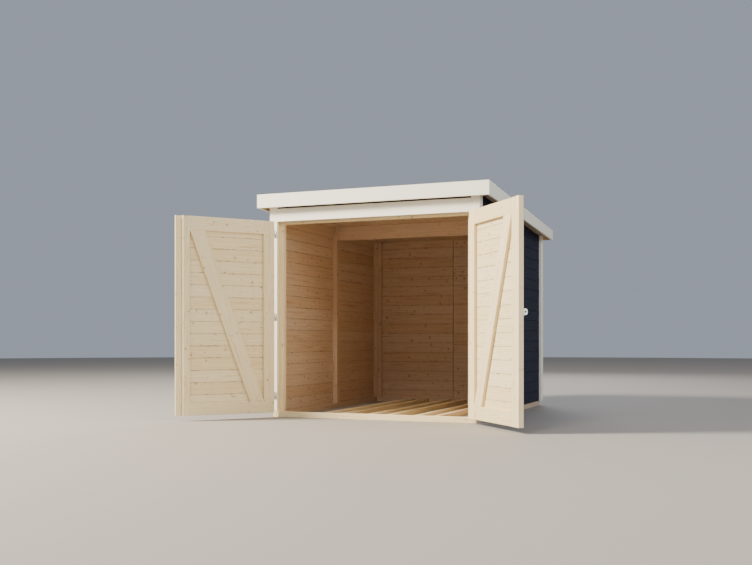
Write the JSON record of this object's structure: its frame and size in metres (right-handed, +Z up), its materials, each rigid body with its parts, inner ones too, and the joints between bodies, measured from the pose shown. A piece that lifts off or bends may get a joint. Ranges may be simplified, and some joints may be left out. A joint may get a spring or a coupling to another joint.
{
  "type": "bike shelter",
  "caption": "Timber cycle shed with a low-pitch roof, walls of horizontal boards, wheel tracks and two side-hung door leaves standing open.",
  "frame": {"origin": "on the ground under the middle of the front sill", "axes": "+X to the right seen from the front, +Y into the shed towards the back wall, +Z up"},
  "size_m": [2.7775, 2.9979, 1.838],
  "materials": {
    "bare_spruce": "planed and untreated",
    "dark_boards": "painted anthracite outside, bare inside",
    "white_trim": "painted warm white",
    "roofing_felt": "mineral surfaced",
    "galvanised_steel": "zinc plated"
  },
  "bodies": {
    "shelter": {"back_base_beam": "bare_spruce", "back_fascia": "white_trim", "back_left_corner_trim": "white_trim", "back_right_corner_trim": "white_trim", "back_studs": "bare_spruce", "back_wall_left_panel": "dark_boards", "back_wall_right_panel": "dark_boards", "door_head": "bare_spruce", "door_posts": "bare_spruce", "door_reveal_strips": "bare_spruce", "front_fascia": "white_trim", "front_left_corner_trim": "white_trim", "front_right_corner_trim": "white_trim", "front_sill": "bare_spruce", "front_wall_head_panel": "dark_boards", "hinge_brackets": "galvanised_steel", "left_fascia": "white_trim", "left_wall_front_panel": "dark_boards", "left_wall_rear_panel": "dark_boards", "lintel_board": "white_trim", "rear_corner_posts": "bare_spruce", "right_fascia": "white_trim", "right_wall_front_panel": "dark_boards", "right_wall_rear_panel": "dark_boards", "roof_boards": "bare_spruce", "roof_felt": "roofing_felt", "roof_purlin": "bare_spruce", "side_base_beams": "bare_spruce", "side_studs": "bare_spruce", "wheel_track_left": "bare_spruce", "wheel_track_middle": "bare_spruce", "wheel_track_right": "bare_spruce"},
    "left_leaf": {"left_leaf_boards": "dark_boards", "left_leaf_brace": "bare_spruce", "left_leaf_closing_board": "dark_boards", "left_leaf_hinge_straps": "galvanised_steel", "left_leaf_rails": "bare_spruce", "left_leaf_stiles": "bare_spruce"},
    "right_leaf": {"right_leaf_boards": "dark_boards", "right_leaf_brace": "bare_spruce", "right_leaf_hinge_straps": "galvanised_steel", "right_leaf_meeting_post": "dark_boards", "right_leaf_rails": "bare_spruce", "right_leaf_stiles": "bare_spruce", "padlock_eye": "galvanised_steel"}
  },
  "joints": [
    {"name": "left_door_hinge", "type": "hinge", "parent": "shelter", "child": "left_leaf", "pos_m": [-0.842, -0.051, 0.83], "axis": [0, 0, 1], "range_deg": [-38, 128]},
    {"name": "right_door_hinge", "type": "hinge", "parent": "shelter", "child": "right_leaf", "pos_m": [0.842, -0.051, 0.83], "axis": [0, 0, -1], "range_deg": [-36, 130]}
  ]
}
